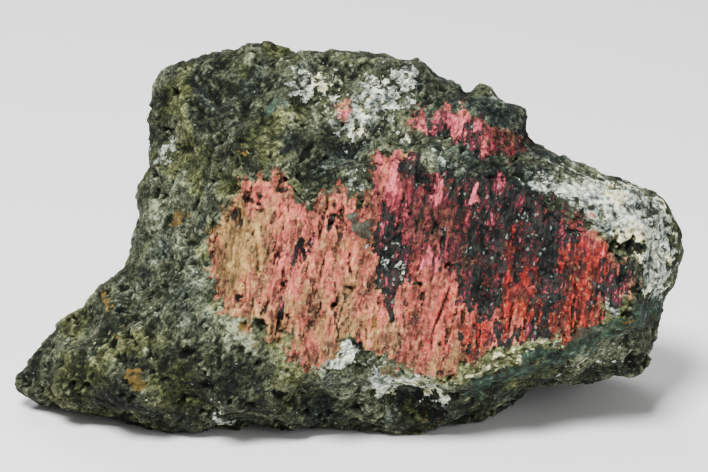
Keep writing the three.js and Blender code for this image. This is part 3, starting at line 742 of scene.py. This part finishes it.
def silky_fibres_group():
    """Fibrous gillespite: salmon, tan, crimson and scarlet fibres, with pinholes painted dark as
    shade, and painted shade and sheen brought in through Shade.
    """
    inputs = {"Place": "place", "Shade": "value", "Tan": "value", "Crimson": "value",
              "Scarlet": "value", "Pink": "value"}
    tree, g, given, result = new_group("Silky fibres", inputs, SURFACE)
    turned = g.turn_to_fibres(given["Place"])
    strands = g.stretch(turned, (1.0, 0.26, 0.25))
    wide = g.noise(strands, 0.85, detail=2.0)
    medium = g.noise(g.stretch(turned, (1.0, 0.34, 0.3)), 0.42, detail=3.0)
    fine = g.noise(strands, 0.17, detail=3.0, roughness=0.7)
    flecks = g.noise(g.stretch(turned, (1.0, 0.7, 1.0)), 0.3, detail=4.0, roughness=0.8)
    patches = g.noise(g.stretch(turned, (1.0, 0.5, 0.25)), 1.4, detail=4.0, roughness=0.6)
    splinter = g.math("SUBTRACT", g.cells(strands, 0.2), 0.5)
    tone = g.math("ADD", g.math("MULTIPLY", splinter, 0.1), g.math("MULTIPLY", fine, 0.65))
    tone = g.math("ADD", tone, g.math("MULTIPLY", flecks, 0.9))
    tone = g.math("ADD", tone, g.math("MULTIPLY", medium, 0.8))
    tone = g.math("ADD", tone, g.math("MULTIPLY", wide, 0.4))
    # Shade carries painted shade and painted sheen, which darken or lighten the fibres.
    tone = g.math("SUBTRACT", g.math("SUBTRACT", tone, 1.04), given["Shade"])
    choice = g.math("MULTIPLY", g.math("SUBTRACT", wide, 0.5), 1.5)
    choice = g.math("ADD", choice, g.math("MULTIPLY", g.math("SUBTRACT", medium, 0.5), 1.4))
    choice = g.math("ADD", choice, g.math("MULTIPLY", splinter, 0.3))
    salmon = g.ramp(
        tone, (0.0, colour("35180f")), (0.2, colour("7c3f33")), (0.42, colour("b8695b")),
        (0.68, colour("d28d7c")), (1.0, colour("e4bfa8")),
    )
    tan = g.ramp(
        tone, (0.0, colour("33200b")), (0.22, colour("7e4f26")), (0.45, colour("b07c40")),
        (0.7, colour("c6a067")), (1.0, colour("ddcda3")),
    )
    crimson = g.ramp(
        tone, (0.0, colour("0e0405")), (0.24, colour("3a0f15")), (0.46, colour("7b2233")),
        (0.7, colour("b2445a")), (1.0, colour("de8c97")),
    )
    scarlet = g.ramp(
        tone, (0.0, colour("1c0403")), (0.24, colour("5c0f0c")), (0.5, colour("a01f18")),
        (0.76, colour("c7443a")), (1.0, colour("e79384")),
    )
    pink = g.ramp(
        tone, (0.0, colour("43141f")), (0.3, colour("a94d5b")), (0.6, colour("d28590")),
        (0.9, colour("e6b6b8")),
    )
    shown = salmon
    for zone, look in (("Tan", tan), ("Crimson", crimson), ("Scarlet", scarlet), ("Pink", pink)):
        shown = g.mix(g.remap(g.math("ADD", given[zone], choice), 0.28, 0.78), shown, look)
    clay = g.math("ADD", g.math("MULTIPLY", flecks, 0.5), g.math("MULTIPLY", patches, 0.5))
    beige = g.remap(g.math("ADD", clay, g.math("MULTIPLY", given["Tan"], 0.13)), 0.46, 0.6)
    beige = g.math("MULTIPLY", beige, g.remap(given["Crimson"], 0.3, 0.7, 0.75, 0.15))
    beige = g.math("MULTIPLY", beige, g.remap(given["Scarlet"], 0.2, 0.6, 1.0, 0.15))
    beige = g.math("MULTIPLY", beige, g.remap(given["Pink"], 0.2, 0.6, 1.0, 0.1))
    sandy = g.ramp(
        tone, (0.0, colour("2e2614")), (0.25, colour("73603a")), (0.5, colour("a8945f")),
        (0.75, colour("c3b382")), (1.0, colour("ddd3b0")),
    )
    shown = g.mix(beige, shown, sandy)
    specks = g.cells(g.stretch(turned, (1.0, 0.7, 1.0)), 0.14)
    pale = g.math("MULTIPLY", g.remap(specks, 0.6, 1.0), g.remap(flecks, 0.45, 0.6, 0.0, 0.26))
    pale = g.math("MULTIPLY", pale, g.remap(given["Crimson"], 0.2, 0.6, 1.0, 0.3))
    shown = g.mix(pale, shown, colour("dcd0ac"))
    shown = g.mix(g.remap(specks, 0.2, 0.0, 0.0, 0.3), shown, colour("54462f"))
    # Painted shade: pinholes are coloured dark, as the shadow in pits, with no hole in the surface.
    holes = g.remap(g.math("ADD", flecks, g.math("MULTIPLY", medium, 0.5)), 0.57, 0.49)
    shown = g.mix(g.math("MULTIPLY", holes, 0.75), shown, colour("2d271b"))
    height = g.math("ADD", g.math("MULTIPLY", fine, 0.13), g.math("MULTIPLY", flecks, 0.09))
    g.feed(result["Colour"], shown)
    g.feed(result["Roughness"], g.remap(fine, 0.35, 0.65, 0.65, 0.4))
    g.feed(result["Height"], height)
    return tree


def dark_grit_group():
    """Near-black green grains among the fibres, with some of dark crimson and a few pale ones,
    painted as glints.
    """
    tree, g, given, result = new_group("Dark grit", {"Place": "place"}, SURFACE)
    place = given["Place"]
    turned = g.turn_to_fibres(place)
    grains = g.cells(g.stretch(turned, (1.0, 0.6, 1.0)), 0.15)
    clouds = g.noise(g.stretch(turned, (1.0, 0.4, 0.3)), 1.0, detail=4.0, roughness=0.7)
    strands = g.noise(g.stretch(turned, (1.0, 0.22, 1.0)), 0.3, detail=3.0, roughness=0.7)
    pick = g.math("MULTIPLY", g.math("SUBTRACT", clouds, 0.5), 2.4)
    pick = g.math("ADD", pick, g.math("MULTIPLY", g.math("SUBTRACT", strands, 0.5), 2.2))
    pick = g.math("ADD", g.math("ADD", pick, g.math("MULTIPLY", grains, 0.4)), 0.18)
    grit = g.ramp(
        pick, (0.0, colour("040504")), (0.2, colour("0d120e")), (0.36, colour("1e261f")),
        (0.45, colour("3c463d")), (0.52, colour("2a1718")), (0.68, colour("571f2a")),
        (0.85, colour("883544")), (1.0, colour("b4656f")),
    )
    # Painted glints: a few grains turned pale grey.
    pale = g.math("GREATER_THAN", grains, 0.97)
    grit = g.mix(g.math("MULTIPLY", pale, 0.4), grit, colour("a6b3aa"))
    g.feed(result["Colour"], grit)
    g.feed(result["Roughness"], g.remap(grains, 0.0, 0.5, 0.35, 0.7))
    g.feed(result["Height"], g.math("MULTIPLY", pick, 0.07))
    return tree


def white_mineral_group():
    """White to grey-blue and cream grains, packed close, with dark gaps between and painted shade in
    the crevices.
    """
    inputs = {"Place": "place", "Shade": "value", "Warmth": "value"}
    tree, g, given, result = new_group("White mineral", inputs, SURFACE)
    place = given["Place"]
    fine = g.noise(place, 0.42, detail=4.0, roughness=0.7)
    broad = g.noise(place, 1.9, detail=3.0)
    tone = g.math("ADD", g.math("MULTIPLY", fine, 2.5), g.math("MULTIPLY", broad, 1.5))
    tone = g.math("SUBTRACT", tone, 1.44)
    # Painted shade: darker in the crevices and hollows.
    tone = g.math("SUBTRACT", tone, g.math("MULTIPLY", given["Shade"], 1.3))
    white = g.ramp(
        tone, (0.0, colour("1f2621")), (0.2, colour("565e57")), (0.4, colour("949c94")),
        (0.64, colour("bbc1b8")), (0.95, colour("dde0d9")),
    )
    cream = g.ramp(
        tone, (0.0, colour("24241a")), (0.25, colour("606049")), (0.5, colour("aaa88b")),
        (1.0, colour("e2dfca")),
    )
    warm = g.math("ADD", broad, g.math("MULTIPLY", given["Warmth"], 0.12))
    g.feed(result["Colour"], g.mix(g.remap(warm, 0.54, 0.64), white, cream))
    g.feed(result["Roughness"], g.remap(fine, 0.4, 0.6, 0.5, 0.8))
    g.feed(result["Height"], g.math("MULTIPLY", fine, 0.34))
    return tree


def ragged_edge_group():
    """A field's edge, broken up by a wandering noise."""
    inputs = {"Field": "value", "Edge": "value", "Wander": "value", "Raggedness": "value",
              "Softness": "value"}
    tree, g, given, result = new_group("Ragged edge", inputs, {"Mask": "value"})
    wander = g.math("MULTIPLY", g.math("SUBTRACT", given["Wander"], 0.5), given["Raggedness"])
    reach = g.math("SUBTRACT", g.math("ADD", given["Field"], wander), given["Edge"])
    inside = g.math("DIVIDE", reach, given["Softness"])
    g.feed(result["Mask"], g.remap(inside, -0.5, 0.5))
    return tree


def specimen_surface_group():
    """Every mineral of the specimen in its place, for all of its pieces, with painted shade in the
    hollows and pits and a painted sheen on the fibres.
    """
    tree, g, given, result = new_group("Specimen surface", {"Place": "place"}, SURFACE)
    place = given["Place"]
    ragged = ragged_edge_group()
    turned = g.turn_to_fibres(place)
    along = g.noise(g.stretch(turned, (1.0, 0.3, 0.3)), 0.75, detail=4.0, roughness=0.7)
    grainy = g.noise(place, 0.7, detail=4.0, roughness=0.7)

    def edge(field, at, raggedness, wander=grainy, softness=0.12):
        inputs = {"Field": g.field(field), "Edge": at, "Raggedness": raggedness}
        inputs.update({"Wander": wander, "Softness": softness})
        return use_group(g, ragged, inputs)["Mask"]

    # Painted shade: the colour is darkened in the crevices and broad hollows of the relief, and the
    # rock's tone carries it.
    shade = g.math("MULTIPLY", g.field("crevice"), 1.3)
    shade = g.math("ADD", shade, g.math("MULTIPLY", g.field("hollow"), 0.45))
    tone = g.math("ADD", g.math("MULTIPLY", g.field("tone"), 0.28), 0.43)
    tone = g.math("ADD", tone, g.math("MULTIPLY", g.field("pale"), 0.16))
    tone = g.math("SUBTRACT", tone, g.math("MULTIPLY", g.field("dark"), 0.2))
    tone = g.math("SUBTRACT", tone, shade)
    olive = g.math("MULTIPLY", g.field("olive"), 0.8)
    rock = use_group(g, granular_rock_group(), {
        "Place": place, "Tone": tone,
        "Coolness": g.math("SUBTRACT", g.field("coolness"), olive),
        "Warmth": g.math("ADD", g.field("warmth"), olive),
    })
    white = use_group(g, white_mineral_group(), {
        "Place": place, "Shade": shade, "Warmth": g.field("olive"),
    })
    # Painted shade and painted sheen on the fibres: darker in the hollows and dark zones, lighter
    # where the sheen field is high.
    fibre_shade = g.math("SUBTRACT", shade, g.math("MULTIPLY", g.field("sheen"), 0.2))
    fibre_shade = g.math("ADD", fibre_shade, g.math("MULTIPLY", g.field("dark"), 0.14))
    fibres = use_group(g, silky_fibres_group(), {
        "Place": place, "Shade": fibre_shade, "Tan": g.field("tan"), "Crimson": g.field("crimson"),
        "Scarlet": g.field("scarlet"), "Pink": g.field("pink"),
    })
    shown, roughness, height = rock["Colour"], rock["Roughness"], rock["Height"]
    whiteness = edge("white", 0.66, 3.8)
    shown = g.mix(whiteness, shown, white["Colour"])
    roughness = g.blend(whiteness, roughness, white["Roughness"])
    height = g.blend(whiteness, height, white["Height"])
    mixed = g.math("ADD", g.math("MULTIPLY", along, 0.45), g.math("MULTIPLY", grainy, 0.55))
    grit = use_group(g, dark_grit_group(), {"Place": place})
    clots = edge("clots", 0.6, 4.4, mixed)
    redness = edge("red", 0.05, 4.6, mixed, 0.5)
    strong_white = edge("white", 1.05, 1.6)
    redness = g.math("MULTIPLY", redness, g.math("SUBTRACT", 1.0, strong_white))
    shown = g.mix(redness, shown, g.mix(clots, fibres["Colour"], grit["Colour"]))
    fibre_roughness = g.blend(clots, fibres["Roughness"], grit["Roughness"])
    roughness = g.blend(redness, roughness, fibre_roughness)
    height = g.blend(redness, height, g.blend(clots, fibres["Height"], grit["Height"]))
    teal = g.math("MULTIPLY", edge("teal", 0.55, 1.8), 0.88)
    smooth_teal = g.ramp(
        grainy, (0.34, colour("0c120e")), (0.48, colour("25382d")), (0.58, colour("435d4d")),
        (0.7, colour("76907a")),
    )
    shown = g.mix(teal, shown, smooth_teal)
    height = g.math("MULTIPLY", height, g.math("SUBTRACT", 1.0, g.math("MULTIPLY", teal, 0.4)))
    rust = g.math("MULTIPLY", edge("rust", 0.75, 3.0), 0.85)
    rust_film = g.ramp(
        grainy, (0.35, colour("3f3412")), (0.52, colour("73602a")), (0.68, colour("9c8444")),
    )
    shown = g.mix(rust, shown, rust_film)
    # Painted shade: the pits and the hair crack are coloured near black, as the shadow in them.
    pits = g.math("MULTIPLY", edge("pits", 0.5, 1.4), 0.9)
    shown = g.mix(pits, shown, colour("10140f"))
    g.feed(result["Colour"], shown)
    g.feed(result["Roughness"], roughness)
    g.feed(result["Height"], height)
    return tree


def mineral_material(name, surface, specular):
    """One mineral's material: the specimen's surface with this mineral's own gloss."""
    material = bpy.data.materials.new(name)
    material.use_nodes = True
    g = Graph(material.node_tree)
    shader = material.node_tree.nodes["Principled BSDF"]
    place = g.add("ShaderNodeTexCoord").outputs["Object"]
    turn = {"Vector": place, "Location": FACE_ORIGIN * MM, "Rotation": (FACE_TURN, 0, 0)}
    turn["Scale"] = (MM, MM, MM)
    place = g.add("ShaderNodeMapping", turn, vector_type="TEXTURE").outputs[0]
    looks = use_group(g, surface, {"Place": place})
    bump = g.add("ShaderNodeBump", {"Strength": 1.0, "Distance": MM, "Height": looks["Height"]})
    g.feed(shader.inputs["Base Color"], looks["Colour"])
    g.feed(shader.inputs["Roughness"], looks["Roughness"])
    g.feed(shader.inputs["Normal"], bump.outputs[0])
    shader.inputs["Specular IOR Level"].default_value = specular
    return material


# Setting: camera, floor and light

def set_camera():
    data = bpy.data.cameras.new("camera")
    data.sensor_width = SENSOR_WIDTH
    data.lens = SENSOR_WIDTH * VIEW_DISTANCE / (PHOTO_WIDTH / PIXELS_PER_MM)
    data.clip_start = 0.01
    data.clip_end = 10.0
    camera = bpy.data.objects.new("camera", data)
    bpy.context.scene.collection.objects.link(camera)
    camera.location = FROM_FACE @ Vector((0, 0, VIEW_DISTANCE))
    camera.rotation_euler = (FACE_TURN, 0, 0)
    bpy.context.scene.camera = camera


def make_floor():
    sheet = bmesh.new()
    bmesh.ops.create_grid(sheet, x_segments=1, y_segments=1, size=FLOOR_REACH)
    mesh = bpy.data.meshes.new("floor")
    sheet.to_mesh(mesh)
    sheet.free()
    floor = bpy.data.objects.new("floor", mesh)
    bpy.context.scene.collection.objects.link(floor)
    material = bpy.data.materials.new("pale floor")
    material.use_nodes = True
    shader = material.node_tree.nodes["Principled BSDF"]
    shader.inputs["Base Color"].default_value = (FLOOR_GREY, FLOOR_GREY, FLOOR_GREY, 1)
    shader.inputs["Roughness"].default_value = FLOOR_ROUGHNESS
    mesh.materials.append(material)


def add_light(name, place, size, power):
    """A square soft light, aimed at the middle of the specimen."""
    data = bpy.data.lights.new(name, "AREA")
    data.size = size
    data.energy = power
    light = bpy.data.objects.new(name, data)
    bpy.context.scene.collection.objects.link(light)
    light.location = place
    aim = LIGHT_AIM - light.location
    light.rotation_euler = aim.to_track_quat("-Z", "Y").to_euler()


def light_studio():
    world = bpy.data.worlds.new("studio")
    world.use_nodes = True
    sky = world.node_tree.nodes["Background"].inputs
    sky["Color"].default_value = (1, 1, 1, 1)
    sky["Strength"].default_value = SKY_STRENGTH
    bpy.context.scene.world = world
    for name, (place, size, power) in LIGHTS.items():
        add_light(name, place, size, power)


set_camera()
make_floor()
light_studio()

SKIN = guide_skin()
SPECIMEN = specimen_surface_group()
ROCK = mineral_material("dark rock", SPECIMEN, specular=0.14)
RED = mineral_material("red gillespite", SPECIMEN, specular=0.16)
WHITE = mineral_material("white mineral", SPECIMEN, specular=0.2)

surface_piece("rock_surface", "matrix", ROCK_VOXEL, 5, 0.1, ROCK)
surface_piece("red_lens_surface", "gillespite", LENS_VOXEL, 8, 0.22, RED)
surface_piece("upper_red_surface", "gillespite_upper", SMALL_BODY_VOXEL, 8, 0.22,
              RED)
surface_piece("red_grain_surface", "gillespite_grain", SMALL_BODY_VOXEL, 6, 0.22,
              RED)
surface_piece("white_band_surface", "white_band", WHITE_VOXEL, 6, 0.22, WHITE)
